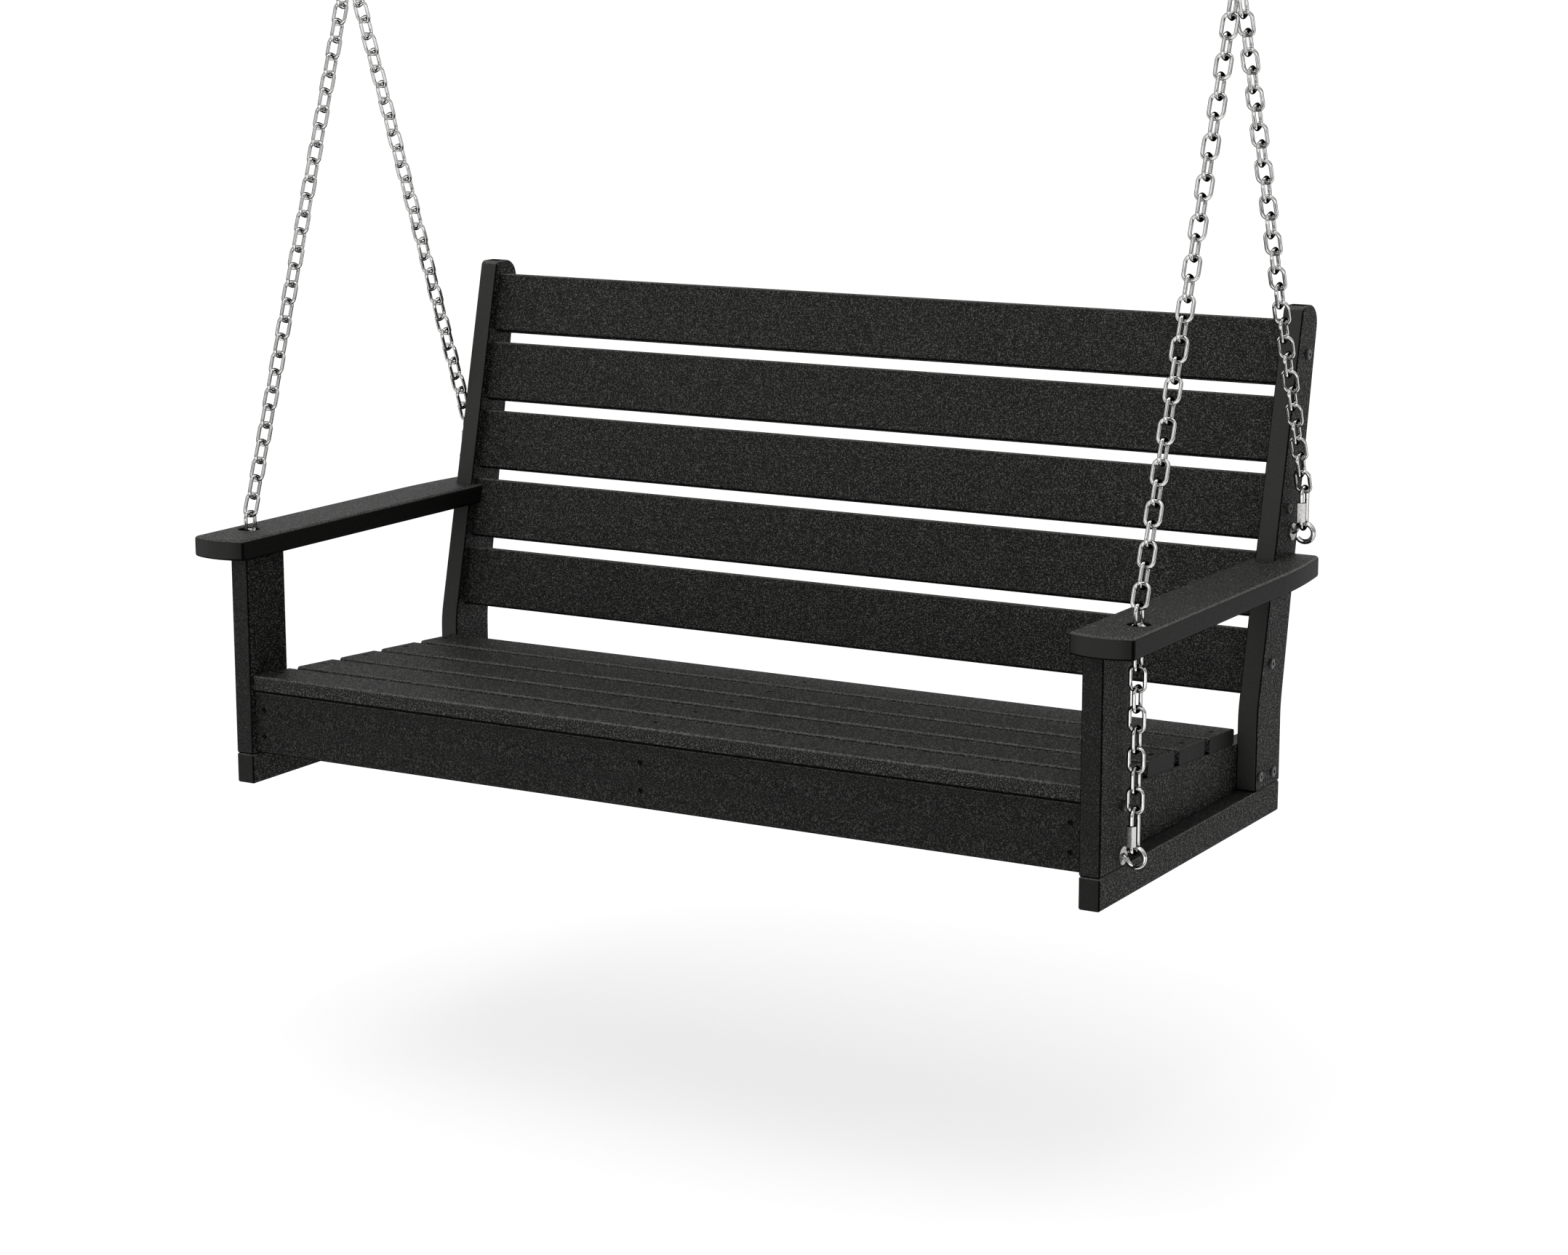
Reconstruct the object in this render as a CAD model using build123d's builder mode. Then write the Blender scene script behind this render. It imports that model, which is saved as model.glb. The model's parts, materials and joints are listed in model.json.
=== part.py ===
from build123d import *
import math
import os

os.makedirs("parts", exist_ok=True)

# ------------------------------------------------------------------ driving dimensions (mm)
# Working coordinates: X across the swing from its middle plane, y back from the front end
# of the lower rails, z up from their underside, square to the side frames. P() moves them to
# the part's own origin, which lies on the swing axis midway between the two ceiling hooks, and
# save() leans the finished piece back by hang_deg, the attitude in which the swing hangs with
# its centre of mass below the hooks.
frame_half = 657.4          # middle plane to the outer face of posts and uprights
board_t = 28.5              # thickness of the side frame boards
inner_x = frame_half - board_t
rail_h = 41.8               # lower rail height
rail_len = 572.5            # lower rail length
post_w = 82.5               # front post, front to back
arm_bottom = 317.2
arm_t = 28.8
arm_inner = 619.5           # the armrest overhangs the frame by 9.4 mm inside
arm_outer = 705.0
arm_front = -17.5
arm_bow = 10.0
arm_taper = ((705.0, 455.0), (701.8, 530.0), (693.0, 605.0))   # its outer edge curves in at the rear
hole_x, hole_y, hole_r = 674.3, 62.8, 15.0

upright_front = 489.5
upright_top = 674.0
front_slope = 0.2345        # recline of the front edge above the seat
rear_slope = 0.183          # recline of the rear edge: the upright tapers upwards

seat_slope = 0.0539         # the seat drops this much per millimetre to the rear
seat_z0 = 153.33            # seat surface height at y = 0
slat_t = 22.0
seat_slat_w = 83.5
seat_slat_pitch = 98.0
seat_slat_first = 5.5       # front edge of the first slat
seat_slat_half = 628.6

back_slat_h = 87.4
back_slat_gap = 15.7
back_recess = 15.5          # front faces behind the uprights' front edges, along y
back_top_z = 655.5
tenon_t, tenon_h, tenon_d = 14.0, 70.0, 6.0

apron_front, apron_back = 8.15, 30.2
apron_bottom, apron_top = 43.8, 129.5
side_rail_bottom = 38.0
side_rail_rear = 566.0
rear_rail_front, rear_rail_back = 455.4, 480.6
screw_x = 614.0
round_r = 3.0

chain_x = 673.0             # plane of each pair of chains
ring_x = 675.0
front_ring = (65.0, 56.5)
rear_ring = (594.0, 376.5)
ring_r, ring_wire = 12.2, 3.4
link_wire = 2.55            # chain wire radius
link_len = 30.6             # chain link, all three to the wire's centre: length,
link_half_w = 9.7           # half width
link_r = 8.0                # and corner radius
upright_links, lean_links, rear_links = 10, 31, 29
ql_wire = 3.0               # quick link wire radius
ql_r = 10.0                 # quick link bend radius, to the wire's centre
ql_half = 18.0              # half of its straight length
sleeve_len, sleeve_flats = 26.0, 11.0
ql_gap_low, ql_gap_high = -16.0, -7.0
hook_wire = 4.0

hang_deg = 2.52             # backward lean of the side frames as the swing hangs
apex_y, apex_z = 324.0, 1108.0    # where the two end links lie in the upper quick link
nest = 0.1

# the upper quick link hangs on the hook; its lower bend holds the two chain ends
top_ql_high = -(ql_r - ql_wire - hook_wire - 0.3)     # centre of its upper bend, own frame
top_ql_z = top_ql_high - ql_half
top_ql_low = top_ql_z - ql_half
end_dy = link_wire + 0.15
end_z = top_ql_low - math.sqrt((ql_r - ql_wire - link_wire - nest) ** 2 - end_dy ** 2)
hang = math.radians(hang_deg)
axis_y = apex_y + end_z * math.sin(hang)
axis_z = apex_z - end_z * math.cos(hang)


def P(x, y, z):
    return Vector(x, y - axis_y, z - axis_z)


def yz_plane(x):
    # local x runs back, local y runs up, both in the part's own frame
    return Plane(origin=(x, -axis_y, -axis_z), x_dir=(0, 1, 0), z_dir=(1, 0, 0))


def front_edge(z):
    return 535.5 + front_slope * (z - 346.0)


def rear_edge(z):
    return 609.0 + rear_slope * (z - 346.0)


def seat_top(y):
    return seat_z0 - seat_slope * y


beta = math.atan(seat_slope)
seat_n = Vector(0, math.sin(beta), math.cos(beta))
seat_t = Vector(0, math.cos(beta), -math.sin(beta))
alpha = math.atan(front_slope)
back_up = Vector(0, math.sin(alpha), math.cos(alpha))
back_n = Vector(0, -math.cos(alpha), math.sin(alpha))


def seat_bottom(y):
    return seat_top(y) - slat_t / math.cos(beta)


def drill(pos, direction, radius, length, mode=Mode.SUBTRACT):
    with Locations(Plane(origin=pos, z_dir=direction)):
        Cylinder(radius, length, align=(Align.CENTER, Align.CENTER, Align.MIN), mode=mode)


def save(builder, name, leaning=True):
    piece = builder.part.rotate(Axis.X, -hang_deg) if leaning else builder.part
    piece.label = name
    export_step(piece, "parts/" + name + ".step")


SIDES = (("left", -1), ("right", 1))


def outer_dir(s):
    return (float(s), 0.0, 0.0)


def inner_dir(s):
    return (-float(s), 0.0, 0.0)


# ------------------------------------------------------------------ fastener positions
rail_screw_y = (20.0, 45.0, 524.0, 557.0)      # up through the lower rail
rail_screw_x = frame_half - board_t / 2
post_bolt = (68.0, 118.0)
rail_bolts = ((502.3, 61.0), (547.3, 58.5))
back_tops = [k * (back_slat_h + back_slat_gap) for k in range(5)]


def back_face(s):
    return (front_edge(back_top_z) + back_recess - s * math.sin(alpha), back_top_z - s * math.cos(alpha))


back_centres = []
for s0 in back_tops:
    fy, fz = back_face(s0 + back_slat_h / 2)
    back_centres.append((fy + slat_t / 2 * math.cos(alpha), fz - slat_t / 2 * math.sin(alpha)))
slat_bolts = []
for k, shift in ((0, 5.5), (2, 0.0), (4, 0.0)):
    cy, cz = back_centres[k]
    slat_bolts.append((cy + shift * math.cos(alpha), cz - shift * math.sin(alpha)))
arm_screw_z = 331.6
arm_screw_tip = 486.0
slat_centres = [seat_slat_first + k * seat_slat_pitch + seat_slat_w / 2 for k in range(5)]

# ------------------------------------------------------------------ side frames
for side, s in SIDES:
    x_low = -frame_half if s < 0 else inner_x

    with BuildPart() as lower_rail:
        with BuildSketch(yz_plane(x_low)):
            Rectangle(rail_len, rail_h, align=(Align.MIN, Align.MIN))
        extrude(amount=board_t)
        fillet(lower_rail.edges(), round_r)
        for y in rail_screw_y:
            drill(P(s * rail_screw_x, y, 0), (0, 0, 1), 2.6, rail_h)
            drill(P(s * rail_screw_x, y, 0), (0, 0, 1), 5.2, 5.0)
    save(lower_rail, side + "_lower_rail")

    with BuildPart() as front_post:
        with BuildSketch(yz_plane(x_low)):
            with Locations((0, rail_h)):
                Rectangle(post_w, arm_bottom - rail_h, align=(Align.MIN, Align.MIN))
        extrude(amount=board_t)
        fillet(front_post.edges(), round_r)
        with Locations(P(s * rail_screw_x, post_w / 2, arm_bottom - 6)):
            Box(12, 50, 13.5, align=(Align.CENTER, Align.CENTER, Align.MIN))
        for y in rail_screw_y[:2]:
            drill(P(s * rail_screw_x, y, rail_h - 1), (0, 0, 1), 2.6, 62)
        drill(P(s * (frame_half + 1), front_ring[0], front_ring[1]), inner_dir(s), ring_wire + 0.1, board_t + 2)
        drill(P(s * (frame_half + 1), *post_bolt), inner_dir(s), 3.1, board_t + 2)
    save(front_post, side + "_front_post")

    with BuildPart() as back_upright:
        with BuildSketch(yz_plane(x_low)):
            with BuildLine():
                FilletPolyline(
                    (upright_front, rail_h),
                    (upright_front, 346.0 - (535.5 - upright_front) / front_slope),
                    (front_edge(upright_top), upright_top),
                    (rear_edge(upright_top), upright_top),
                    (rail_len, 346.0 - (609.0 - rail_len) / rear_slope),
                    (rail_len, rail_h),
                    radius=[round_r, 140.0, 8.0, 26.0, 140.0, round_r],
                    close=True,
                )
            make_face()
        extrude(amount=board_t)
        rim = back_upright.faces().filter_by(Axis.X).edges()
        fillet(rim, 2.6)
        for cy, cz in back_centres:
            with Locations(Plane(origin=P(s * (inner_x - 1), cy, cz), x_dir=back_up, z_dir=outer_dir(s))):
                Box(tenon_h + 0.2, tenon_t + 0.2, tenon_d + 1.2, align=(Align.CENTER, Align.CENTER, Align.MIN), mode=Mode.SUBTRACT)
        for y, z in list(slat_bolts) + list(rail_bolts):
            drill(P(s * (frame_half + 1), y, z), inner_dir(s), 3.1, board_t + 2)
        drill(P(s * (frame_half + 1), *rear_ring), inner_dir(s), ring_wire + 0.1, board_t + 2)
        for y in rail_screw_y[2:]:
            drill(P(s * rail_screw_x, y, rail_h - 1), (0, 0, 1), 2.6, 62)
        arm_head_y = rear_edge(arm_screw_z)
        drill(P(s * rail_screw_x, arm_head_y + 5, arm_screw_z), (0, -1, 0), 2.6, 90)
        drill(P(s * rail_screw_x, arm_head_y + 5, arm_screw_z), (0, -1, 0), 5.6, 11)
    save(back_upright, side + "_back_upright")

    with BuildPart() as armrest:
        with BuildSketch(Plane(origin=(0, -axis_y, arm_bottom - axis_z), z_dir=(0, 0, 1))):
            with BuildLine():
                (x0, y0), (x1, y1), (x2, y2) = arm_taper
                Line((s * arm_outer, arm_front), (s * x0, y0))
                ThreePointArc((s * x0, y0), (s * x1, y1), (s * x2, y2))
                Polyline((s * x2, y2), (s * arm_inner, y2), (s * arm_inner, arm_front))
                ThreePointArc((s * arm_inner, arm_front), (s * (arm_inner + arm_outer) / 2, arm_front - arm_bow), (s * arm_outer, arm_front))
            make_face()
        extrude(amount=arm_t)
        ups = armrest.edges().filter_by(Axis.Z)
        fillet(ups.filter_by(lambda e: e.center().Y < 0 - axis_y + 100 and abs(e.center().X) > 690), 5.5)
        ups = armrest.edges().filter_by(Axis.Z)
        fillet(ups.filter_by(lambda e: e.center().Y < 0 - axis_y + 100 and abs(e.center().X) < 640), 5.5)
        ups = armrest.edges().filter_by(Axis.Z)
        fillet(ups.filter_by(lambda e: e.center().Y > arm_taper[2][1] - 5 - axis_y and abs(e.center().X) > 680), 9.0)
        fillet(armrest.faces().filter_by(Axis.Z).edges(), 4.5)
        drill(P(s * hole_x, hole_y, arm_bottom - 1), (0, 0, 1), hole_r, arm_t + 2)
        mouths = armrest.edges().filter_by(GeomType.CIRCLE).filter_by(lambda e: abs(e.radius - hole_r) < 0.01)
        fillet(mouths, 2.0)
        # the notch for the upright follows its reclined front edge
        with BuildSketch(yz_plane(-frame_half - 0.1 if s < 0 else inner_x - 0.1)):
            with BuildLine():
                Polyline((front_edge(300), 300), (front_edge(360), 360), (720, 360), (720, 300), close=True)
            make_face()
        extrude(amount=board_t + 0.2, mode=Mode.SUBTRACT)
        # and the strip inside it stops at the front of the back slats
        with BuildSketch(yz_plane(-inner_x - 0.1 if s < 0 else arm_inner - 1)):
            with BuildLine():
                Polyline((front_edge(300) + back_recess - 0.3, 300), (front_edge(360) + back_recess - 0.3, 360), (720, 360), (720, 300), close=True)
            make_face()
        extrude(amount=inner_x - arm_inner + 1.1, mode=Mode.SUBTRACT)
        with Locations(P(s * rail_screw_x, post_w / 2, arm_bottom - 1)):
            Box(12.2, 50.2, 9.0, align=(Align.CENTER, Align.CENTER, Align.MIN), mode=Mode.SUBTRACT)
        drill(P(s * rail_screw_x, 560, arm_screw_z), (0, -1, 0), 2.6, 560 - arm_screw_tip + 1)
    save(armrest, side + "_armrest")

    with BuildPart() as side_rail:
        with BuildSketch(yz_plane(-inner_x if s < 0 else inner_x - board_t)):
            with BuildLine():
                FilletPolyline(
                    (apron_back, side_rail_bottom),
                    (apron_back, seat_bottom(apron_back)),
                    (side_rail_rear, seat_bottom(side_rail_rear)),
                    (side_rail_rear, side_rail_bottom),
                    radius=[1.0, 1.0, 6.0, 6.0],
                    close=True,
                )
            make_face()
        extrude(amount=board_t)
        fillet(side_rail.faces().filter_by(Axis.X).edges(), 0.9)
        drill(P(s * (inner_x + 1), front_ring[0], front_ring[1]), inner_dir(s), ring_wire + 0.1, board_t + 2)
        drill(P(s * (inner_x + 1), *post_bolt), inner_dir(s), 3.1, board_t - 2)
        for y, z in rail_bolts:
            drill(P(s * (inner_x + 1), y, z), inner_dir(s), 3.1, board_t - 2)
        for y in slat_centres:
            drill(P(s * screw_x, y, seat_top(y)), -seat_n, 2.1, 39)
        for z in (105.0, 67.8):
            drill(P(s * screw_x, apron_back - 1, z), (0, 1, 0), 2.1, 31)
        with Locations(P(s * (inner_x - board_t), (rear_rail_front + rear_rail_back) / 2, apron_bottom + 10)):
            Box(12.2, tenon_t + 0.2, 40.2, align=(Align.CENTER, Align.CENTER, Align.MIN), mode=Mode.SUBTRACT)
    save(side_rail, side + "_seat_side_rail")

# ------------------------------------------------------------------ seat
with BuildPart() as front_apron:
    with Locations(P(0, apron_front, apron_bottom)):
        Box(2 * inner_x, apron_back - apron_front, apron_top - apron_bottom, align=(Align.CENTER, Align.MIN, Align.MIN))
    fillet(front_apron.edges().filter_by(Axis.X), round_r)
    fillet(front_apron.faces().filter_by(Axis.X).edges(), 0.8)
    for x in (-screw_x, 0, screw_x):
        for z in (105.0, 67.8):
            drill(P(x, apron_front - 1, z), (0, 1, 0), 2.1, 40)
            drill(P(x, apron_front - 1, z), (0, 1, 0), 3.9, 1.0 + 1.8)
            with Locations(Plane(origin=P(x, apron_front + 1.8, z), z_dir=(0, 1, 0))):
                Cone(3.9, 2.1, 2.2, align=(Align.CENTER, Align.CENTER, Align.MIN), mode=Mode.SUBTRACT)
save(front_apron, "front_apron")

with BuildPart() as rear_seat_rail:
    rr_top = seat_bottom(rear_rail_back)
    with BuildSketch(yz_plane(-(inner_x - board_t))):
        with BuildLine():
            Polyline((rear_rail_front, apron_bottom), (rear_rail_front, seat_bottom(rear_rail_front)), (rear_rail_back, rr_top), (rear_rail_back, apron_bottom), close=True)
        make_face()
    extrude(amount=2 * (inner_x - board_t))
    fillet(rear_seat_rail.edges().filter_by(Axis.X).sort_by(Axis.Z)[:2], round_r)
    for s in (-1, 1):
        with Locations(P(s * (inner_x - board_t + 2.0), (rear_rail_front + rear_rail_back) / 2, apron_bottom + 10.1)):
            Box(8, tenon_t, 40, align=(Align.CENTER, Align.CENTER, Align.MIN))
    drill(P(0, slat_centres[4], seat_top(slat_centres[4])), -seat_n, 2.1, 39)
    for z in (92.0, 62.0):
        drill(P(0, rear_rail_back + 1, z), (0, -1, 0), 2.1, 40)
        drill(P(0, rear_rail_back + 1, z), (0, -1, 0), 3.9, 1.0 + 3.5)
        with Locations(Plane(origin=P(0, rear_rail_back - 3.5, z), z_dir=(0, -1, 0))):
            Cone(3.9, 2.1, 2.2, align=(Align.CENTER, Align.CENTER, Align.MIN), mode=Mode.SUBTRACT)
save(rear_seat_rail, "rear_seat_rail")

with BuildPart() as centre_seat_brace:
    with BuildSketch(yz_plane(-board_t / 2)):
        with BuildLine():
            Polyline((apron_back, apron_bottom), (apron_back, seat_bottom(apron_back)), (rear_rail_front, seat_bottom(rear_rail_front)), (rear_rail_front, apron_bottom), close=True)
        make_face()
    extrude(amount=board_t)
    fillet(centre_seat_brace.faces().sort_by(Axis.Z)[0].edges().filter_by(Axis.Y), round_r)
    for y in slat_centres:
        drill(P(0, y, seat_top(y)), -seat_n, 2.1, 39)
    for z in (105.0, 67.8):
        drill(P(0, apron_back - 1, z), (0, 1, 0), 2.1, 31)
    for z in (92.0, 62.0):
        drill(P(0, rear_rail_front + 1, z), (0, -1, 0), 2.1, 35)
save(centre_seat_brace, "centre_seat_brace")

for k, yc in enumerate(slat_centres):
    c = P(0, yc, seat_top(yc)) - seat_n * (slat_t / 2)
    with BuildPart() as seat_slat:
        with BuildSketch(Plane(origin=(-seat_slat_half, c.Y, c.Z), x_dir=seat_t, z_dir=(1, 0, 0))):
            RectangleRounded(seat_slat_w, slat_t, 4.0)
        extrude(amount=2 * seat_slat_half)
        fillet(seat_slat.faces().filter_by(Axis.X).edges(), 0.8)
        for x in (-screw_x, 0, screw_x):
            top = P(x, yc, seat_top(yc))
            drill(top + seat_n, -seat_n, 2.1, 30)
            drill(top + seat_n, -seat_n, 3.9, 1.0 + 1.2)
            with Locations(Plane(origin=top - seat_n * 1.2, z_dir=-seat_n)):
                Cone(3.9, 2.1, 2.2, align=(Align.CENTER, Align.CENTER, Align.MIN), mode=Mode.SUBTRACT)
    save(seat_slat, "seat_slat_%d" % (k + 1))

# ------------------------------------------------------------------ back
for k, (cy, cz) in enumerate(back_centres):
    c = P(0, cy, cz)
    with BuildPart() as back_slat:
        with BuildSketch(Plane(origin=(-inner_x, c.Y, c.Z), x_dir=back_up, z_dir=(1, 0, 0))):
            RectangleRounded(back_slat_h, slat_t, 4.0)
        extrude(amount=2 * inner_x)
        for s in (-1, 1):
            with Locations(Plane(origin=(s * (inner_x - 1), c.Y, c.Z), x_dir=back_up, z_dir=outer_dir(s))):
                Box(tenon_h, tenon_t, tenon_d + 1, align=(Align.CENTER, Align.CENTER, Align.MIN))
            if k in (0, 2, 4):
                by, bz = slat_bolts[(0, 2, 4).index(k)]
                drill(P(s * (inner_x + 10), by, bz), inner_dir(s), 3.1, 10 + 36)
    save(back_slat, "back_slat_%d" % (k + 1))

# ------------------------------------------------------------------ screws and bolts
with BuildPart() as cone_screw:
    # countersunk screw, head up at the origin, shank along -Z
    with BuildSketch(Plane.XZ):
        with BuildLine():
            Polyline((0, 0), (3.8, 0), (3.8, -0.5), (2.0, -2.7), (2.0, -34), (0, -37), close=True)
        make_face()
    revolve(axis=Axis.Z)
    with BuildSketch(Plane.XY):
        Rectangle(3.4, 0.9)
        Rectangle(0.9, 3.4)
    extrude(amount=-1.2, mode=Mode.SUBTRACT)

with BuildPart() as seat_slat_screws:
    spots = []
    for yc in slat_centres:
        for x in (-screw_x, 0, screw_x):
            spots.append(Plane(origin=P(x, yc, seat_top(yc)) - seat_n * 0.7, z_dir=seat_n))
    with Locations(*spots):
        add(cone_screw.part)
save(seat_slat_screws, "seat_slat_screws")

with BuildPart() as apron_screws:
    spots = []
    for x in (-screw_x, 0, screw_x):
        for z in (105.0, 67.8):
            spots.append(Plane(origin=P(x, apron_front + 1.3, z), z_dir=(0, -1, 0)))
    with Locations(*spots):
        add(cone_screw.part)
save(apron_screws, "apron_screws")

with BuildPart() as brace_screws:
    spots = [Plane(origin=P(0, rear_rail_back - 3.0, z), z_dir=(0, 1, 0)) for z in (92.0, 62.0)]
    with Locations(*spots):
        add(cone_screw.part)
save(brace_screws, "brace_rear_screws")

with BuildPart() as long_screw:
    with BuildSketch(Plane.XZ):
        with BuildLine():
            Polyline((0, 0), (5.0, 0), (5.0, -3.2), (2.5, -3.2), (2.5, -94), (0, -98), close=True)
        make_face()
    revolve(axis=Axis.Z)
    with BuildSketch(Plane.XY):
        RegularPolygon(2.3, 6, major_radius=False)
    extrude(amount=-2.0, mode=Mode.SUBTRACT)

with BuildPart() as lower_rail_screws:
    spots = []
    for s in (-1, 1):
        for y in rail_screw_y:
            spots.append(Plane(origin=P(s * rail_screw_x, y, 1.6), z_dir=(0, 0, -1)))
    with Locations(*spots):
        add(long_screw.part)
save(lower_rail_screws, "lower_rail_screws")

with BuildPart() as arm_screw:
    with BuildSketch(Plane.XZ):
        with BuildLine():
            Polyline((0, 0), (5.4, 0), (5.4, -3.4), (2.5, -3.4), (2.5, -108), (0, -112), close=True)
        make_face()
    revolve(axis=Axis.Z)
    with BuildSketch(Plane.XY):
        RegularPolygon(2.3, 6, major_radius=False)
    extrude(amount=-2.0, mode=Mode.SUBTRACT)

with BuildPart() as armrest_screws:
    head_y = rear_edge(arm_screw_z) - 2.2
    with Locations(*[Plane(origin=P(s * rail_screw_x, head_y, arm_screw_z), z_dir=(0, 1, 0)) for s in (-1, 1)]):
        add(arm_screw.part)
save(armrest_screws, "armrest_screws")

with BuildPart() as socket_bolt:
    # round head with a hexagon socket, seated at z = 0, shank along -Z
    with BuildSketch(Plane.XZ):
        with BuildLine():
            Polyline((0, 4.0), (5.6, 4.0), (6.7, 3.2), (7.0, 2.2), (7.0, 0), (3.0, 0), (3.0, -59), (0, -62), close=True)
        make_face()
    revolve(axis=Axis.Z)
    with BuildSketch(Plane.XY.offset(4.0)):
        RegularPolygon(2.5, 6, major_radius=False)
    extrude(amount=-2.6, mode=Mode.SUBTRACT)

with BuildPart() as short_bolt:
    # a lower head, clear of the chain that passes over the bolt in the front post
    with BuildSketch(Plane.XZ):
        with BuildLine():
            Polyline((0, 3.0), (5.6, 3.0), (6.7, 2.3), (7.0, 1.5), (7.0, 0), (3.0, 0), (3.0, -46), (0, -49), close=True)
        make_face()
    revolve(axis=Axis.Z)
    with BuildSketch(Plane.XY.offset(3.0)):
        RegularPolygon(2.5, 6, major_radius=False)
    extrude(amount=-2.0, mode=Mode.SUBTRACT)

with BuildPart() as back_slat_bolts:
    with Locations(*[Plane(origin=P(s * frame_half, y, z), z_dir=outer_dir(s)) for s in (-1, 1) for y, z in slat_bolts]):
        add(socket_bolt.part)
save(back_slat_bolts, "back_slat_bolts")

with BuildPart() as seat_rail_bolts:
    with Locations(*[Plane(origin=P(s * frame_half, y, z), z_dir=outer_dir(s)) for s in (-1, 1) for y, z in (post_bolt,) + rail_bolts]):
        add(short_bolt.part)
save(seat_rail_bolts, "seat_rail_bolts")

# ------------------------------------------------------------------ eye bolts, washers, nuts
turn = math.radians(70.0)
bend_r = ring_r * math.sin(math.radians(20.0)) / (1 - math.cos(turn))
bend_start = ring_x - ring_r * math.cos(math.radians(20.0)) - bend_r * math.sin(turn)
washer_t, nut_t = 1.6, 6.5
front_inner = inner_x - board_t
rear_inner = inner_x

for place, (ry, rz), u, shank_in in (
    ("front", front_ring, -1, front_inner - washer_t - nut_t - 4.0),
    ("rear", rear_ring, 1, rear_inner - washer_t - nut_t - 4.0),
):
    ring_plane = Plane(origin=(0, ry - axis_y, rz - axis_z), x_dir=(1, 0, 0), z_dir=(0, -1, 0))
    with BuildPart() as right_eye:
        with BuildLine(ring_plane) as eye_path:
            l1 = Line((shank_in, 0), (bend_start, 0))
            l2 = JernArc(start=l1 @ 1, tangent=l1 % 1, radius=bend_r, arc_size=u * 70.0)
            l3 = JernArc(start=l2 @ 1, tangent=l2 % 1, radius=ring_r, arc_size=-u * 305.0)
        with BuildSketch(Plane(origin=(shank_in, ry - axis_y, rz - axis_z), z_dir=(1, 0, 0))):
            Circle(ring_wire)
        sweep(path=eye_path.wires()[0])
    save(right_eye, "right_%s_eye_bolt" % place)
    with BuildPart() as left_eye:
        mirror(right_eye.part, about=Plane.YZ)
    save(left_eye, "left_%s_eye_bolt" % place)

with BuildPart() as eye_bolt_washers:
    for s in (-1, 1):
        for (ry, rz), xi_face in ((front_ring, front_inner), (rear_ring, rear_inner)):
            with Locations(Plane(origin=P(s * frame_half, ry, rz), z_dir=outer_dir(s)), Plane(origin=P(s * xi_face, ry, rz), z_dir=inner_dir(s))):
                Cylinder(11.5, washer_t, align=(Align.CENTER, Align.CENTER, Align.MIN))
            drill(P(s * (frame_half + 3), ry, rz), inner_dir(s), ring_wire + 0.4, 70)
save(eye_bolt_washers, "eye_bolt_washers")

with BuildPart() as eye_bolt_nuts:
    for s in (-1, 1):
        for (ry, rz), xi_face in ((front_ring, front_inner), (rear_ring, rear_inner)):
            with BuildSketch(Plane(origin=P(s * (xi_face - washer_t), ry, rz), z_dir=inner_dir(s))):
                RegularPolygon(6.5, 6, major_radius=False)
                Circle(ring_wire + 0.05, mode=Mode.SUBTRACT)
            extrude(amount=nut_t)
save(eye_bolt_nuts, "eye_bolt_nuts")

# ------------------------------------------------------------------ quick links
ring_seat = math.sqrt((ring_r - ring_wire - ql_wire - nest) ** 2 - (ring_x - chain_x) ** 2)


def quick_link_at(name, pl, leaning):
    # pl: origin at the middle of the link, local x to the rear, local y up
    up = pl.y_dir
    with BuildPart() as quick_link:
        with BuildLine(pl) as ql_path:
            a1 = Line((-ql_r, ql_gap_high), (-ql_r, ql_half))
            a2 = JernArc(start=a1 @ 1, tangent=a1 % 1, radius=ql_r, arc_size=-180)
            a3 = Line(a2 @ 1, (ql_r, -ql_half))
            a4 = JernArc(start=a3 @ 1, tangent=a3 % 1, radius=ql_r, arc_size=-180)
            a5 = Line(a4 @ 1, (-ql_r, ql_gap_low))
        with BuildSketch(Plane(origin=pl.from_local_coords((-ql_r, ql_gap_high, 0)), z_dir=up)):
            Circle(ql_wire)
        sweep(path=ql_path.wires()[0])
    save(quick_link, name, leaning)
    with BuildPart() as sleeve:
        with BuildSketch(Plane(origin=pl.from_local_coords((-ql_r, -ql_half, 0)), z_dir=up)):
            RegularPolygon(sleeve_flats / 2, 6, major_radius=False)
        extrude(amount=sleeve_len)
        fillet(sleeve.faces().filter_by(Axis.Z).edges(), 0.5)
        drill(pl.from_local_coords((-ql_r, -ql_half - 1, 0)), up, ql_wire + 0.06, sleeve_len + 2)
    save(sleeve, name + "_sleeve", leaning)


ql_centre = {}
for place, (ry, rz) in (("front", front_ring), ("rear", rear_ring)):
    ql_centre[place] = (ry, rz + ring_seat + ql_r + ql_half)
for side, s in SIDES:
    for place, (qy, qz) in ql_centre.items():
        quick_link_at("%s_%s_quick_link" % (side, place), Plane(origin=P(s * chain_x, qy, qz), x_dir=(0, 1, 0), z_dir=(1, 0, 0)), True)
    quick_link_at("%s_top_quick_link" % side, Plane(origin=(s * chain_x, 0, top_ql_z), x_dir=(0, 1, 0), z_dir=(1, 0, 0)), False)

# ------------------------------------------------------------------ chains
ql_seat = ql_r - ql_wire - link_wire - nest    # end wire from the middle of a quick link's bend
front_bend = (ql_centre["front"][0], ql_centre["front"][1] + ql_half)
rear_bend = (ql_centre["rear"][0], ql_centre["rear"][1] + ql_half)


def chain_end(dy):
    return (axis_y + dy * math.cos(hang) - end_z * math.sin(hang), axis_z + dy * math.sin(hang) + end_z * math.cos(hang))


def unit(a, b):
    n = math.hypot(b[0] - a[0], b[1] - a[1])
    return ((b[0] - a[0]) / n, (b[1] - a[1]) / n), n


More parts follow.
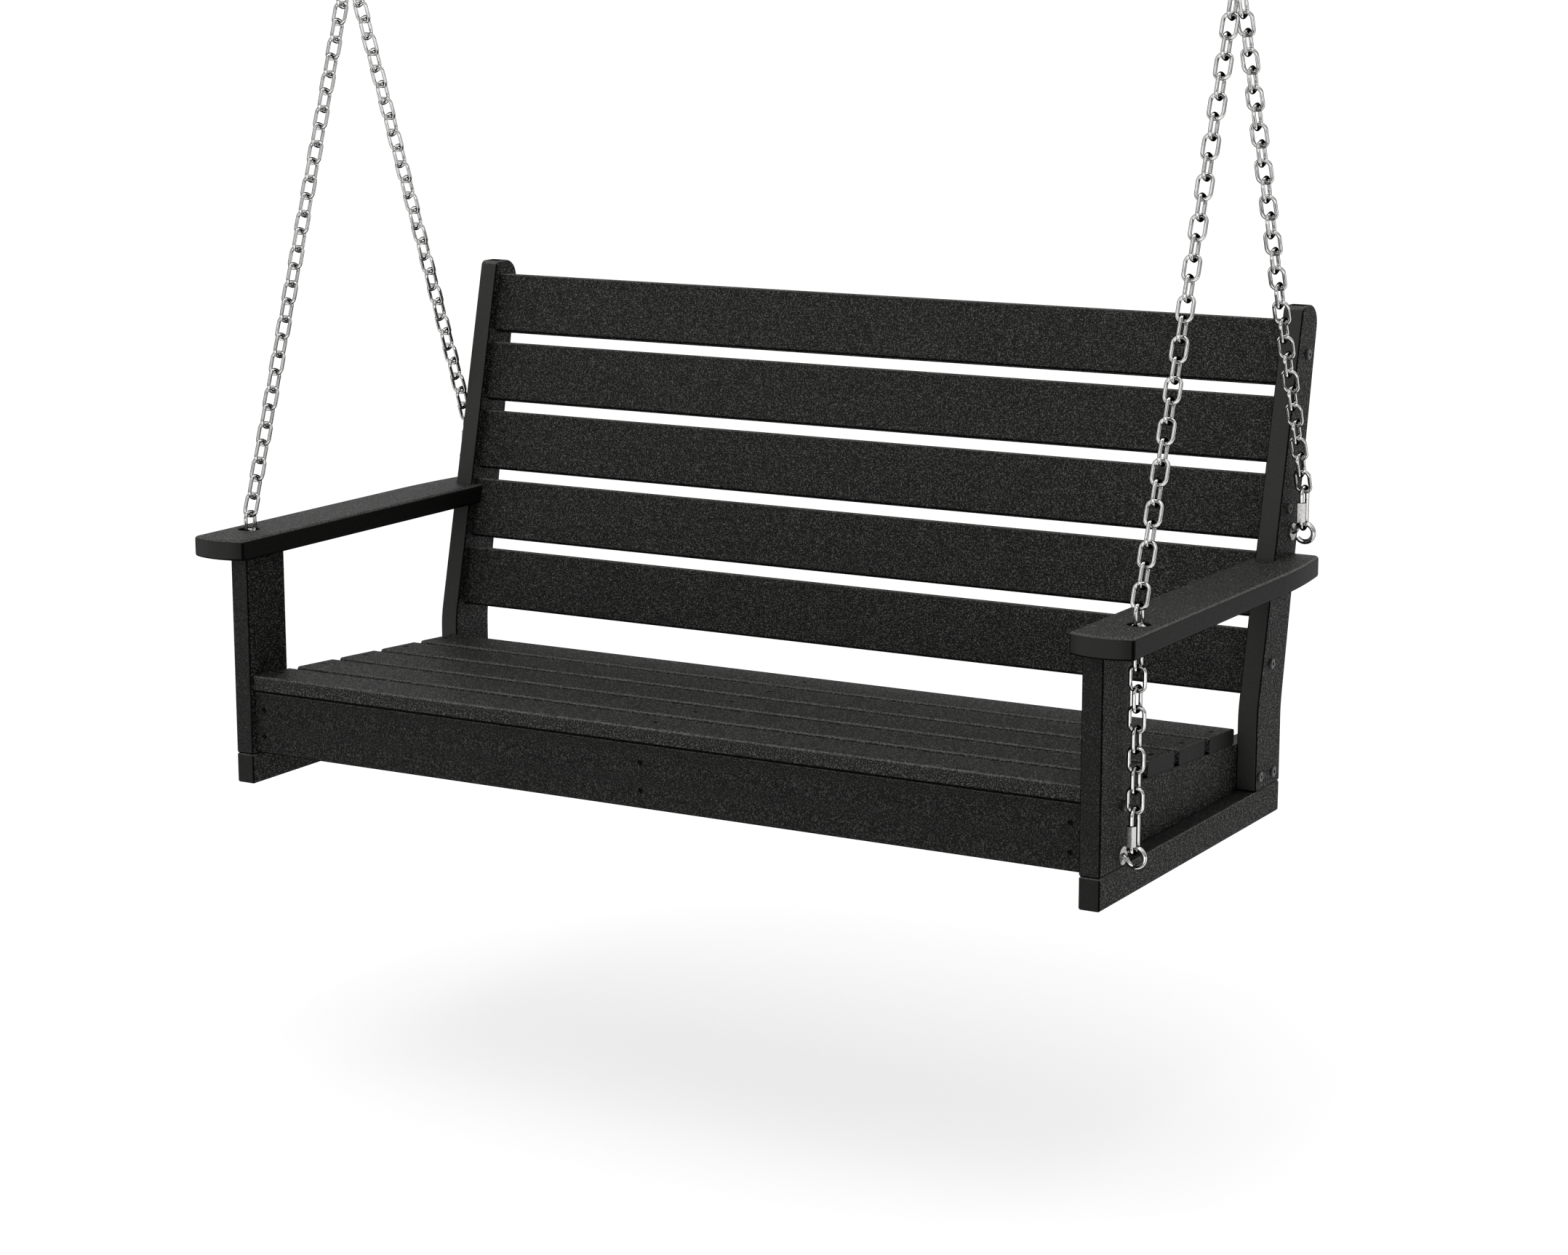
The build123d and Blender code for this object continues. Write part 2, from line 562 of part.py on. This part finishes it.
with BuildPart() as chain_link:
    half = link_len / 2 - link_r
    flat_end = link_half_w - link_r
    with BuildLine(Plane.XZ) as link_path:
        c1 = Line((-link_half_w, -half), (-link_half_w, half))
        c2 = JernArc(start=c1 @ 1, tangent=c1 % 1, radius=link_r, arc_size=-90)
        c3 = Line(c2 @ 1, (flat_end, link_len / 2))
        c4 = JernArc(start=c3 @ 1, tangent=c3 % 1, radius=link_r, arc_size=-90)
        c5 = Line(c4 @ 1, (link_half_w, -half))
        c6 = JernArc(start=c5 @ 1, tangent=c5 % 1, radius=link_r, arc_size=-90)
        c7 = Line(c6 @ 1, (-flat_end, -link_len / 2))
        c8 = JernArc(start=c7 @ 1, tangent=c7 % 1, radius=link_r, arc_size=-90)
    with BuildSketch(Plane(origin=(-link_half_w, 0, -half), z_dir=(0, 0, 1))):
        Circle(link_wire)
    sweep(path=link_path.wires()[0])


def link_spots(s, start, direction, count, pitch, flat_first):
    spots = []
    for i in range(count):
        mid = link_len / 2 + i * pitch
        flat = (i % 2 == 0) == flat_first
        along = Vector(0, direction[0], direction[1])
        x_dir = Vector(1, 0, 0) if flat else Vector(0, direction[1], -direction[0])
        spots.append(Plane(origin=P(s * chain_x, start[0] + direction[0] * mid, start[1] + direction[1] * mid), x_dir=x_dir, z_dir=along))
    return spots


# the front chain rises straight through the armrest, then leans to the hook
front_start = (front_bend[0], front_bend[1] + ql_seat)
upright_pitch = 25.2
front_joint = (front_start[0], front_start[1] + link_len + (upright_links - 1) * upright_pitch)
lean_dir, _ = unit(front_joint, chain_end(-end_dy))
turn_y, turn_z = lean_dir[0] / 2, (1 + lean_dir[1]) / 2
turn_n = math.hypot(turn_y, turn_z)
hold = 2 * link_wire + nest
lean_start = (front_joint[0] - hold * turn_y / turn_n, front_joint[1] - hold * turn_z / turn_n)
lean_dir, lean_run = unit(lean_start, chain_end(-end_dy))
lean_pitch = (lean_run - link_len) / (lean_links - 1)
# the rear chain is straight from quick link to hook
rear_dir, _ = unit(rear_bend, chain_end(end_dy))
rear_start = (rear_bend[0] + rear_dir[0] * ql_seat, rear_bend[1] + rear_dir[1] * ql_seat)
rear_dir, rear_run = unit(rear_start, chain_end(end_dy))
rear_pitch = (rear_run - link_len) / (rear_links - 1)

for side, s in SIDES:
    spots = link_spots(s, front_start, (0.0, 1.0), upright_links, upright_pitch, True)
    spots += link_spots(s, lean_start, lean_dir, lean_links, lean_pitch, upright_links % 2 == 0)
    with BuildPart() as front_chain:
        with Locations(*spots):
            add(chain_link.part)
    save(front_chain, side + "_front_chain")
    with BuildPart() as rear_chain:
        with Locations(*link_spots(s, rear_start, rear_dir, rear_links, rear_pitch, True)):
            add(chain_link.part)
    save(rear_chain, side + "_rear_chain")

# ------------------------------------------------------------------ ceiling hooks
hook_out, hook_r, jog_r, hook_top = 15.0, 11.0, 25.6, 118.0
for side, s in SIDES:
    jog = math.degrees(math.acos(1 - hook_out / (2 * jog_r)))
    jog_z = 2 * jog_r * math.sin(math.radians(jog))
    with BuildPart() as ceiling_hook:
        with BuildLine(Plane(origin=(s * chain_x, 0, 0), x_dir=(1, 0, 0), z_dir=(0, -1, 0))) as hook_path:
            h1 = Line((0, hook_top), (0, 24 + jog_z))
            h2 = JernArc(start=h1 @ 1, tangent=h1 % 1, radius=jog_r, arc_size=s * jog)
            h3 = JernArc(start=h2 @ 1, tangent=h2 % 1, radius=jog_r, arc_size=-s * jog)
            h4 = Line(h3 @ 1, (s * hook_out, hook_r))
            h5 = JernArc(start=h4 @ 1, tangent=h4 % 1, radius=hook_r, arc_size=-s * 90)
            h6 = Line(h5 @ 1, (-s * (hook_out - hook_r), 0))
            h7 = JernArc(start=h6 @ 1, tangent=h6 % 1, radius=hook_r, arc_size=-s * 90)
            h8 = Line(h7 @ 1, (-s * hook_out, 23))
        with BuildSketch(Plane(origin=(s * chain_x, 0, hook_top), z_dir=(0, 0, -1))):
            Circle(hook_wire)
        sweep(path=hook_path.wires()[0])
    save(ceiling_hook, side + "_ceiling_hook", False)

print("axis y %.4f z %.4f, end links at %.3f, pitches %.3f %.3f" % (axis_y, axis_z, end_z, lean_pitch, rear_pitch))
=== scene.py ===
import math

import bpy
from mathutils import Matrix, Vector
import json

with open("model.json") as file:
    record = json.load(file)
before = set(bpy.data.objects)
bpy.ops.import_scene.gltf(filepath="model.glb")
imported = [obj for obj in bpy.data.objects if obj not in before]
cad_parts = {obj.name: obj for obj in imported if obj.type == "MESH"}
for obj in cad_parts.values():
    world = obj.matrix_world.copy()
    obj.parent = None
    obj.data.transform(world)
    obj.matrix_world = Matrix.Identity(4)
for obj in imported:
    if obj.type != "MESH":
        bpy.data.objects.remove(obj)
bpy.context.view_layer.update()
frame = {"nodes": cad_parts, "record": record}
sc = bpy.context.scene
sc.view_settings.view_transform = "Standard"
sc.view_settings.look = "None"
sc.view_settings.exposure = 0.0
sc.view_settings.gamma = 1.0

# the side frames hang leaning back by HANG about the swing axis; square() takes a point given
# square to the side frames (metres, origin on the swing axis) into the row frame
HANG = math.radians(2.52)
LEAN = Matrix.Rotation(-HANG, 4, "X")
PIVOT = Vector((0.0, 0.3221485, 1.1500699))


def square(x, y, z):
    return LEAN @ (Vector((x, y, z)) - PIVOT)


def turned(x, y, z):
    return (LEAN.to_3x3() @ Vector((x, y, z))).normalized()


X = (1, 0, 0)


# ------------------------------------------------------------------ node helpers
class Tree:
    def __init__(self, name):
        self.mat = bpy.data.materials.new(name)
        self.mat.use_nodes = True
        self.nt = self.mat.node_tree
        self.nt.nodes.clear()
        self.x = 0

    def node(self, kind, **values):
        n = self.nt.nodes.new(kind)
        self.x += 180
        n.location = (self.x, 0)
        for k, v in values.items():
            setattr(n, k, v)
        return n

    def put(self, n, socket, value):
        if isinstance(value, bpy.types.NodeSocket):
            self.nt.links.new(value, n.inputs[socket])
        else:
            n.inputs[socket].default_value = value

    def math(self, op, a, b=None, c=None, clamp=False):
        n = self.node("ShaderNodeMath", operation=op, use_clamp=clamp)
        self.put(n, 0, a)
        if b is not None:
            self.put(n, 1, b)
        if c is not None:
            self.put(n, 2, c)
        return n.outputs[0]

    def ramp(self, value, low, high, to_low=0.0, to_high=1.0, smooth=True):
        n = self.node("ShaderNodeMapRange", interpolation_type="SMOOTHSTEP" if smooth else "LINEAR", clamp=True)
        self.put(n, "Value", value)
        for key, v in (("From Min", low), ("From Max", high), ("To Min", to_low), ("To Max", to_high)):
            self.put(n, key, v)
        return n.outputs["Result"]

    def mix(self, factor, a, b):
        n = self.node("ShaderNodeMix", data_type="RGBA", blend_type="MIX")
        self.put(n, 0, factor)
        self.put(n, 6, a)
        self.put(n, 7, b)
        return n.outputs[2]

    def noise(self, vector, scale, detail=2.0, rough=0.5, distortion=0.0):
        n = self.node("ShaderNodeTexNoise")
        self.put(n, "Vector", vector)
        n.inputs["Scale"].default_value = scale
        n.inputs["Detail"].default_value = detail
        n.inputs["Roughness"].default_value = rough
        n.inputs["Distortion"].default_value = distortion
        return n.outputs["Fac"]

    def voronoi(self, vector, scale, feature="F1"):
        n = self.node("ShaderNodeTexVoronoi", feature=feature)
        self.put(n, "Vector", vector)
        n.inputs["Scale"].default_value = scale
        return n.outputs["Distance"]

    def coord(self):
        return self.node("ShaderNodeTexCoord")

    def scaled(self, vector, scale, shift=(0, 0, 0)):
        n = self.node("ShaderNodeMapping")
        self.put(n, "Vector", vector)
        n.inputs["Scale"].default_value = scale
        n.inputs["Location"].default_value = shift
        return n.outputs["Vector"]

    def facing(self, axis):
        # how squarely the surface faces along a row-frame direction, either way: 0 to 1
        c = self.coord()
        d = self.node("ShaderNodeVectorMath", operation="DOT_PRODUCT")
        self.put(d, 0, c.outputs["Normal"])
        d.inputs[1].default_value = axis
        return self.math("ABSOLUTE", d.outputs["Value"])

    def along(self, axis):
        # the same with its sign: 1 facing along the direction, -1 facing away
        c = self.coord()
        d = self.node("ShaderNodeVectorMath", operation="DOT_PRODUCT")
        self.put(d, 0, c.outputs["Normal"])
        d.inputs[1].default_value = axis
        return d.outputs["Value"]

    def bump(self, height, strength, distance, normal=None):
        n = self.node("ShaderNodeBump")
        self.put(n, "Height", height)
        self.put(n, "Strength", strength)
        n.inputs["Distance"].default_value = distance
        if normal is not None:
            self.put(n, "Normal", normal)
        return n.outputs["Normal"]

    def principled(self, **sockets):
        n = self.node("ShaderNodeBsdfPrincipled")
        for k, v in sockets.items():
            self.put(n, k.replace("_", " "), v)
        out = self.node("ShaderNodeOutputMaterial")
        self.nt.links.new(n.outputs[0], out.inputs["Surface"])
        return self.mat


def lumber(name, broad, along, seed, others, fleck=(0.056, 0.055, 0.052, 1), pull=1.0, narrow=None, tip=None, gloss=(0.26, 0.0), graze=(0.72, 0.90)):
    """Charcoal plastic lumber: pebbled where the surface faces the broad axis, satin elsewhere.

    others is how strongly the remaining faces are pebbled; cut ends stay smooth."""
    t = Tree(name)
    c = t.coord().outputs["Object"]
    p = t.scaled(c, (1, pull, 1), (seed * 1.7, seed * 0.9, seed * 2.3))
    grainy = t.ramp(t.facing(broad), 0.62, 0.92, others, 1.0)
    ends = t.ramp(t.facing(along), 0.55, 0.92, 1.0, 0.12)
    grainy = t.math("MULTIPLY", grainy, ends)
    third = tuple(Vector(broad).cross(Vector(along)).normalized())
    flat = t.math("MAXIMUM", t.math("MAXIMUM", t.facing(broad), t.facing(along)), t.facing(third))
    arris = t.ramp(flat, 0.985, 0.86)
    skyward = t.ramp(t.along((0, 0, 1)), 0.15, 0.60)
    cells = t.voronoi(p, 520.0, "SMOOTH_F1")
    pits = t.ramp(cells, 0.10, 0.60)
    fine = t.noise(p, 1100.0, 2.0, 0.6)
    medium = t.noise(p, 560.0, 2.0, 0.55)
    coarse = t.noise(p, 210.0, 2.0, 0.5)
    cloud = t.noise(p, 14.0, 3.0, 0.55)
    streak = t.noise(t.scaled(p, tuple(0.06 if a > 0.5 else 1.0 for a in along)), 260.0, 3.0, 0.6)
    edge = t.node("ShaderNodeLayerWeight")
    edge.inputs["Blend"].default_value = 0.5
    rim = edge.outputs["Facing"]
    # colour: near black, warm grey flecks on the pebbled faces, slow cloudiness, faint draw lines
    speck = t.math("MULTIPLY", t.ramp(medium, 0.50, 0.62), t.ramp(coarse, 0.30, 0.62, 0.45, 1.0))
    speck = t.math("MULTIPLY", speck, grainy)
    # painted shade: darker in the low spots of the fine noise, the small hollows of the pebbling
    pit_shade = t.math("MULTIPLY", t.ramp(fine, 0.56, 0.40), grainy)
    tone = t.math("ADD", t.math("MULTIPLY", cloud, 0.55), t.math("MULTIPLY", streak, 0.45))
    base = t.mix(tone, (0.0044, 0.0043, 0.0040, 1), (0.0100, 0.0098, 0.0091, 1))
    base = t.mix(t.math("MULTIPLY", pit_shade, 0.75), base, (0.0008, 0.0008, 0.0008, 1))
    colour = t.mix(speck, base, fleck)
    # painted light and shade: the narrow faces and the cut ends get their own lighter or darker colour, set per part
    # for how the light falls on them
    if narrow is not None:
        colour = t.mix(t.ramp(t.facing(third), 0.80, 0.95, 0.0, narrow[0]), colour, narrow[1])
    if tip is not None:
        colour = t.mix(t.ramp(t.facing(along), 0.70, 0.90, 0.0, tip[0]), colour, tip[1])
    # the round-overs: painted highlight where they face up, painted shade below and at the sides
    painted_edge_highlight = t.math("MULTIPLY", t.math("MULTIPLY", arris, skyward), t.ramp(medium, 0.36, 0.58, 0.25, 0.90))
    colour = t.mix(painted_edge_highlight, colour, (0.090, 0.089, 0.085, 1))
    # painted shade on the round-overs that face down or sideways
    shade = t.math("MULTIPLY", arris, t.math("SUBTRACT", 1.0, skyward))
    colour = t.mix(t.math("MULTIPLY", shade, 0.88), colour, (0.0014, 0.0014, 0.0014, 1))
    # painted shade: the colour goes near black where the surface is seen edge-on, darkening the outlines
    colour = t.mix(t.ramp(rim, 0.84, 0.98), colour, (0.001, 0.001, 0.001, 1))
    rough = t.math("ADD", t.math("MULTIPLY", fine, 0.20), t.math("MULTIPLY_ADD", grainy, 0.08, 0.42))
    shine = t.math("MULTIPLY", t.ramp(rim, graze[0], graze[1], *gloss), t.math("MULTIPLY_ADD", speck, 0.9, 0.55))
    # the side faces stand across the white walls and would mirror them
    shine = t.math("MULTIPLY", shine, t.ramp(t.facing(X), 0.60, 0.95, 1.0, 0.42))
    shine = t.math("MULTIPLY", shine, t.math("MULTIPLY_ADD", shade, -0.92, 1.0))
    height = t.math(
        "ADD",
        t.math("MULTIPLY", t.math("ADD", t.math("MULTIPLY", pits, 0.6), t.math("MULTIPLY", medium, 1.2)), t.math("MULTIPLY_ADD", grainy, 0.94, 0.06)),
        t.math("ADD", t.math("MULTIPLY", fine, 0.12), t.math("MULTIPLY", streak, 0.18)),
    )
    n = t.bump(height, 0.75, 0.0012)
    return t.principled(Base_Color=colour, Roughness=rough, Normal=n, IOR=1.50, Specular_IOR_Level=shine)


def bright_steel(name):
    """Zinc bright wire: mirror-like with painted shade along its flanks, dulled in patches."""
    t = Tree(name)
    c = t.coord().outputs["Object"]
    cloud = t.noise(c, 60.0, 3.0, 0.55)
    fine = t.noise(c, 1400.0, 2.0, 0.6)
    worn = t.ramp(t.noise(c, 240.0, 3.0, 0.65), 0.50, 0.74)
    edge = t.node("ShaderNodeLayerWeight")
    edge.inputs["Blend"].default_value = 0.5
    # painted shade: bands near the outline of the wire are darkened towards black
    band = t.math("ADD", edge.outputs["Facing"], t.math("MULTIPLY_ADD", cloud, 0.16, -0.08))
    first = t.math("MULTIPLY", t.ramp(band, 0.06, 0.12), t.ramp(band, 0.24, 0.17))
    dark = t.math("MAXIMUM", t.math("MULTIPLY", first, 0.88), t.ramp(band, 0.30, 0.46))
    colour = t.mix(worn, (0.93, 0.925, 0.915, 1), (0.72, 0.71, 0.69, 1))
    colour = t.mix(t.math("MULTIPLY", dark, 0.96), colour, (0.012, 0.012, 0.012, 1))
    rough = t.math("ADD", t.math("MULTIPLY", cloud, 0.06), t.math("MULTIPLY_ADD", worn, 0.10, 0.05))
    n = t.bump(t.math("ADD", t.math("MULTIPLY", cloud, 0.6), t.math("MULTIPLY", fine, 0.12)), 0.10, 0.0006)
    # painted shade: the dark grazing tint keeps the outlines of the wire dark
    return t.principled(Base_Color=colour, Metallic=1.0, Roughness=rough, Normal=n, Specular_Tint=(0.02, 0.02, 0.02, 1))


def plate_steel(name):
    """The same zinc on flat parts: washers, nuts and the hexagon sleeves."""
    t = Tree(name)
    c = t.coord().outputs["Object"]
    cloud = t.noise(c, 90.0, 3.0, 0.55)
    fine = t.noise(c, 1800.0, 2.0, 0.6)
    worn = t.ramp(t.noise(c, 380.0, 3.0, 0.65), 0.48, 0.72)
    edge = t.node("ShaderNodeLayerWeight")
    edge.inputs["Blend"].default_value = 0.5
    colour = t.mix(worn, (0.62, 0.615, 0.605, 1), (0.40, 0.395, 0.385, 1))
    # painted shade: the colour goes near black towards the outlines, where the surface is seen edge-on
    colour = t.mix(t.ramp(t.math("ADD", edge.outputs["Facing"], t.math("MULTIPLY_ADD", cloud, 0.2, -0.1)), 0.62, 0.84), colour, (0.03, 0.03, 0.03, 1))
    rough = t.math("ADD", t.math("MULTIPLY", cloud, 0.10), t.math("MULTIPLY_ADD", worn, 0.10, 0.16))
    n = t.bump(t.math("ADD", t.math("MULTIPLY", cloud, 0.6), t.math("MULTIPLY", fine, 0.2)), 0.12, 0.0006)
    return t.principled(Base_Color=colour, Metallic=1.0, Roughness=rough, Normal=n, Specular_Tint=(0.1, 0.1, 0.1, 1))


def black_steel(name, low=(0.034, 0.034, 0.034, 1), high=(0.12, 0.118, 0.114, 1), metal=0.35, level=0.5):
    t = Tree(name)
    c = t.coord().outputs["Object"]
    cloud = t.noise(c, 300.0, 3.0, 0.6)
    fine = t.noise(c, 2400.0, 2.0, 0.6)
    worn = t.ramp(t.noise(c, 700.0, 3.0, 0.65), 0.56, 0.78)
    edge = t.node("ShaderNodeLayerWeight")
    edge.inputs["Blend"].default_value = 0.5
    colour = t.mix(worn, low, high)
    # painted shade: the colour goes near black towards the outlines, where the surface is seen edge-on
    colour = t.mix(t.ramp(edge.outputs["Facing"], 0.66, 0.90), colour, (0.002, 0.002, 0.002, 1))
    rough = t.math("ADD", t.math("MULTIPLY", cloud, 0.2), 0.26)
    n = t.bump(fine, 0.12, 0.0003)
    return t.principled(Base_Color=colour, Metallic=metal, Roughness=rough, Normal=n, IOR=1.5, Specular_IOR_Level=level)


seat_n = turned(0, math.sin(math.atan(0.0539)), math.cos(math.atan(0.0539)))
back_n = turned(0, -math.cos(math.atan(0.2345)), math.sin(math.atan(0.2345)))
flat_z = turned(0, 0, 1)
flat_y = turned(0, 1, 0)
steel = bright_steel("bright_steel")
black = black_steel("black_steel")
plate = plate_steel("plate_steel")
# painted shade: the screws get a near-black, almost unreflective copy of the black steel
painted_shade_screw = black_steel("screw_steel_painted_shade", (0.0006, 0.0006, 0.0006, 1), (0.006, 0.006, 0.006, 1), 0.0, 0.06)
slots = {s["node"]: s["material_slot"] for s in frame["record"]["subparts"]}
seed = 0
for name, obj in sorted(frame["nodes"].items()):
    slot = slots[name]
    if slot == "bright_steel":
        mat = plate if "washers" in name or "nuts" in name or "sleeve" in name else steel
    elif slot == "black_steel":
        mat = painted_shade_screw if name.endswith("screws") else black
    else:
        seed += 1
        # painted light and shade: the same lumber gets a lighter or darker fleck colour part by part, set for how the
        # light falls on each part
        if name.startswith("seat_slat"):
            mat = lumber("lumber_" + name, seat_n, X, seed, 1.0, (0.082, 0.080, 0.076, 1), 0.5, None, (0.5, (0.010, 0.010, 0.0095, 1)))
        elif name.startswith("back_slat"):
            mat = lumber("lumber_" + name, back_n, X, seed, 1.0, (0.080, 0.078, 0.074, 1))
        elif "armrest" in name:
            mat = lumber("lumber_" + name, flat_z, flat_y, seed, 0.12, (0.062, 0.061, 0.058, 1), 0.6, (0.45, (0.0015, 0.0015, 0.0014, 1)), (0.7, (0.022, 0.0218, 0.0208, 1)), graze=(0.82, 0.95))
        elif name in ("front_apron", "rear_seat_rail"):
            mat = lumber("lumber_" + name, flat_y, X, seed, 1.0, (0.044, 0.043, 0.041, 1), 1.0, None, None, (0.16, 0.0))
        elif "lower_rail" in name or "side_rail" in name or name == "centre_seat_brace":
            mat = lumber("lumber_" + name, X, flat_y, seed, 0.5, (0.070, 0.069, 0.066, 1), 0.45)
        elif "upright" in name:
            mat = lumber("lumber_" + name, X, flat_z, seed, 0.25, (0.070, 0.069, 0.066, 1), 0.45, (0.85, (0.036, 0.0355, 0.034, 1)))
        else:
            mat = lumber("lumber_" + name, X, flat_z, seed, 0.5, (0.068, 0.067, 0.064, 1), 0.5, (0.40, (0.0015, 0.0015, 0.0014, 1)))
    for k in range(max(1, len(obj.data.materials))):
        if obj.data.materials:
            obj.data.materials[k] = mat
        else:
            obj.data.materials.append(mat)


# ------------------------------------------------------------------ floor and light
def grid_plane(name, size, z):
    mesh = bpy.data.meshes.new(name)
    mesh.from_pydata([(-size, -size, z), (size, -size, z), (size, size, z), (-size, size, z)], [], [(0, 1, 2, 3)])
    o = bpy.data.objects.new(name, mesh)
    sc.collection.objects.link(o)
    return o


floor = grid_plane("studio_floor", 150.0, square(0, 0.29, 0).z - 0.40)
t = Tree("studio_floor")
floor.data.materials.append(t.principled(Base_Color=(0.46, 0.46, 0.46, 1), Roughness=1.0, Specular_IOR_Level=0.0, Emission_Color=(1, 1, 1, 1), Emission_Strength=0.575))

world = bpy.data.worlds.new("studio")
sc.world = world
world.use_nodes = True
wt = world.node_tree
wt.nodes.clear()


def wnode(kind, **values):
    n = wt.nodes.new(kind)
    for k, v in values.items():
        setattr(n, k, v)
    return n


def wlink(a, b):
    wt.links.new(a, b)


coord = wnode("ShaderNodeTexCoord")
sep = wnode("ShaderNodeSeparateXYZ")
wlink(coord.outputs["Generated"], sep.inputs[0])
# back of the studio is white, the side towards the camera falls to grey, the ceiling is bright
front = wnode("ShaderNodeVectorMath", operation="DOT_PRODUCT")
wlink(coord.outputs["Generated"], front.inputs[0])
front.inputs[1].default_value = (-0.50, 0.866, 0.0)
side = wnode("ShaderNodeMapRange", interpolation_type="SMOOTHSTEP")
wlink(front.outputs["Value"], side.inputs["Value"])
side.inputs["From Min"].default_value = -0.55
side.inputs["From Max"].default_value = 0.45
side.inputs["To Min"].default_value = 0.20
side.inputs["To Max"].default_value = 1.0
top = wnode("ShaderNodeMapRange", interpolation_type="SMOOTHSTEP")
wlink(sep.outputs["Z"], top.inputs["Value"])
top.inputs["From Min"].default_value = 0.25
top.inputs["From Max"].default_value = 0.85
top.inputs["To Min"].default_value = 0.0
top.inputs["To Max"].default_value = 1.0
mixer = wnode("ShaderNodeMix", data_type="FLOAT")
wlink(top.outputs["Result"], mixer.inputs[0])
wlink(side.outputs["Result"], mixer.inputs[2])
mixer.inputs[3].default_value = 1.0
bg = wnode("ShaderNodeBackground")
bg.inputs["Color"].default_value = (1, 1, 1, 1)
# two soft boxes on the camera side give the wire its highlights
boxes = mixer.outputs[0]
for direction, gain in (((-0.20, -0.90, 0.39), 0.8), ((0.93, -0.20, 0.30), 0.45)):
    toward = wnode("ShaderNodeVectorMath", operation="DOT_PRODUCT")
    wlink(coord.outputs["Generated"], toward.inputs[0])
    toward.inputs[1].default_value = Vector(direction).normalized()
    glow = wnode("ShaderNodeMapRange", interpolation_type="SMOOTHSTEP")
    wlink(toward.outputs["Value"], glow.inputs["Value"])
    glow.inputs["From Min"].default_value = 0.93
    glow.inputs["From Max"].default_value = 0.975
    glow.inputs["To Min"].default_value = 0.0
    glow.inputs["To Max"].default_value = gain
    total = wnode("ShaderNodeMath", operation="ADD")
    wlink(boxes, total.inputs[0])
    wlink(glow.outputs["Result"], total.inputs[1])
    boxes = total.outputs[0]
scale = wnode("ShaderNodeMath", operation="MULTIPLY")
wlink(boxes, scale.inputs[0])
scale.inputs[1].default_value = 1.0
wlink(scale.outputs[0], bg.inputs["Strength"])
wout = wnode("ShaderNodeOutputWorld")
wlink(bg.outputs[0], wout.inputs["Surface"])


def area(name, place, aim, w, h, power):
    data = bpy.data.lights.new(name, "AREA")
    data.shape = "RECTANGLE"
    data.size, data.size_y = w, h
    data.energy = power
    o = bpy.data.objects.new(name, data)
    sc.collection.objects.link(o)
    o.location = place
    o.rotation_euler = (Vector(aim) - Vector(place)).to_track_quat("-Z", "Y").to_euler()
    return o


sun_data = bpy.data.lights.new("overhead", "SUN")
sun_data.energy = 0.8
sun_data.angle = math.radians(50)
sun = bpy.data.objects.new("overhead", sun_data)
sc.collection.objects.link(sun)
sun.rotation_euler = (Vector((0, 0, 0)) - Vector((-0.05, -0.12, 1.0))).to_track_quat("-Z", "Y").to_euler()

# ------------------------------------------------------------------ camera
cam_data = bpy.data.cameras.new("camera")
cam_data.sensor_width = 36.0
cam_data.sensor_fit = "HORIZONTAL"
cam_data.lens = 4734.9 / 2156.0 * 36.0
cam_data.clip_end = 400.0
cam = bpy.data.objects.new("camera", cam_data)
sc.collection.objects.link(cam)
right = Vector((0.86659383, 0.49901347, -0.00082992))
up = Vector((-0.09859879, 0.17285792, 0.97999919))
look = Vector((-0.48917625, 0.84917943, -0.19899973))
R = Matrix((right, up, -look)).transposed()
cam.matrix_world = Matrix.Translation(square(2.32374, -3.65232, 1.163006)) @ (LEAN.to_3x3() @ R).to_4x4()
sc.camera = cam

import json

bpy.context.view_layer.update()
